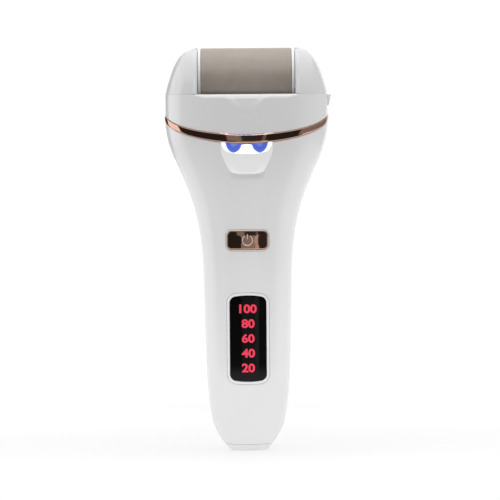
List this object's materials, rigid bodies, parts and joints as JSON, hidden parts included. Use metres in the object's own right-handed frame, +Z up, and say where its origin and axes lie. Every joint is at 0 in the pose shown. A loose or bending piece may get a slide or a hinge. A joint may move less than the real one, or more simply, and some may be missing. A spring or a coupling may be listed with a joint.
{
  "type": "electric callus remover",
  "caption": "Cordless electric foot file standing on its end: coated roller between two arms, rose-gold trim ring, power button, lamp and battery level window on a slim waisted handle.",
  "frame": {"origin": "middle of the flat foot at the lower end", "axes": "+Z up along the handle towards the roller, +X to the right seen from the front (the side of the release button), +Y to the back"},
  "size_m": [0.0767, 0.048, 0.1845],
  "materials": {
    "white_shell": "satin white",
    "white_gloss": "polished white",
    "white_frame": "fine matte white",
    "rose_gold": "mirror rose-gold plating",
    "rose_gold_edge": "bright pale rose-gold edge",
    "mineral_coating": "rough mineral grit",
    "steel": "plain",
    "nickel": "nickel-plated strip",
    "brass": "machined",
    "copper_winding": "enamelled copper and steel",
    "magnet": "sintered ferrite",
    "nylon": "natural nylon",
    "black_plastic": "matte",
    "display_black": "polished smoked window with lit red figures",
    "circuit_board": "solder mask",
    "lamp_clear": "clear lens",
    "lamp_led": "lit blue-white",
    "battery_sleeve": "shrink sleeve",
    "rubber": "soft"
  },
  "bodies": {
    "handle": {"base_cap": "white_shell", "front_shell": "white_shell", "rear_shell": "white_shell", "head_housing": "white_shell", "roller_cradle": "white_shell", "trim_ring": "rose_gold", "button_bezel": "rose_gold_edge", "release_spring": "steel", "motor_can": "steel", "motor_end_cap": "black_plastic", "motor_magnet_front": "magnet", "motor_magnet_rear": "magnet", "gear_plate": "steel", "motor_screw_1": "steel", "motor_screw_2": "steel", "step_gear_pin": "steel", "idler_gear_pin": "steel", "motor_saddle_front": "rubber", "motor_saddle_rear": "rubber", "main_board": "circuit_board", "motor_driver_chip": "black_plastic", "charge_chip": "black_plastic", "power_switch": "black_plastic", "display_window": "display_black", "display_bezel": "white_gloss", "display_mask": "black_plastic", "display_board": "circuit_board", "lamp_insert": "white_gloss", "lamp_lens": "lamp_clear", "lamp_board": "circuit_board", "lamp_led_1": "lamp_led", "lamp_led_2": "lamp_led", "lamp_led_3": "lamp_led", "battery_cell": "battery_sleeve", "battery_tab_upper": "nickel", "battery_tab_lower": "nickel", "charge_socket": "steel", "socket_tongue": "black_plastic", "charge_board": "circuit_board", "shell_screw_1": "steel", "shell_screw_2": "steel", "shell_screw_3": "steel", "shell_screw_4": "steel", "head_screw_1": "steel", "head_screw_2": "steel"},
    "axle_set": {"roller_axle": "steel", "axle_carrier_left": "white_shell", "axle_carrier_right": "white_shell"},
    "roller": {"roller_sleeve": "mineral_coating", "roller_core": "white_frame", "roller_end_cap": "white_frame", "roller_cog": "nylon"},
    "idler": {"idler_gear": "nylon"},
    "step_gear_body": {"step_gear": "nylon"},
    "motor_rotor_body": {"motor_rotor": "copper_winding", "motor_pinion": "brass"},
    "power_button_body": {"power_button": "rose_gold", "switch_plunger": "white_frame"},
    "release_body": {"release_button": "white_shell"}
  },
  "joints": [
    {"name": "roller_lift", "type": "slide", "parent": "handle", "child": "axle_set", "axis": [0, 0, 1], "range_m": [0, 0.04]},
    {"name": "roller_spin", "type": "hinge", "parent": "axle_set", "child": "roller", "pos_m": [0, 0, 0.1705], "axis": [1, 0, 0], "continuous": true},
    {"name": "idler_spin", "type": "hinge", "parent": "handle", "child": "idler", "pos_m": [0, 0, 0.1553], "axis": [1, 0, 0], "continuous": true},
    {"name": "step_gear_spin", "type": "hinge", "parent": "handle", "child": "step_gear_body", "pos_m": [0, 0, 0.1401], "axis": [1, 0, 0], "continuous": true},
    {"name": "motor_spin", "type": "hinge", "parent": "handle", "child": "motor_rotor_body", "pos_m": [0, 0, 0.1241], "axis": [1, 0, 0], "continuous": true},
    {"name": "power_press", "type": "slide", "parent": "handle", "child": "power_button_body", "axis": [0, 1, 0], "range_m": [0, 0.0008], "stiffness_N_per_m": 500},
    {"name": "release_press", "type": "slide", "parent": "handle", "child": "release_body", "axis": [-1, 0, 0], "range_m": [0, 0.0015], "stiffness_N_per_m": 400}
  ],
  "couplings": [
    {"joint": "idler_spin", "follows": "roller_spin", "ratio": -0.46154},
    {"joint": "step_gear_spin", "follows": "roller_spin", "ratio": 1},
    {"joint": "motor_spin", "follows": "roller_spin", "ratio": -3}
  ]
}
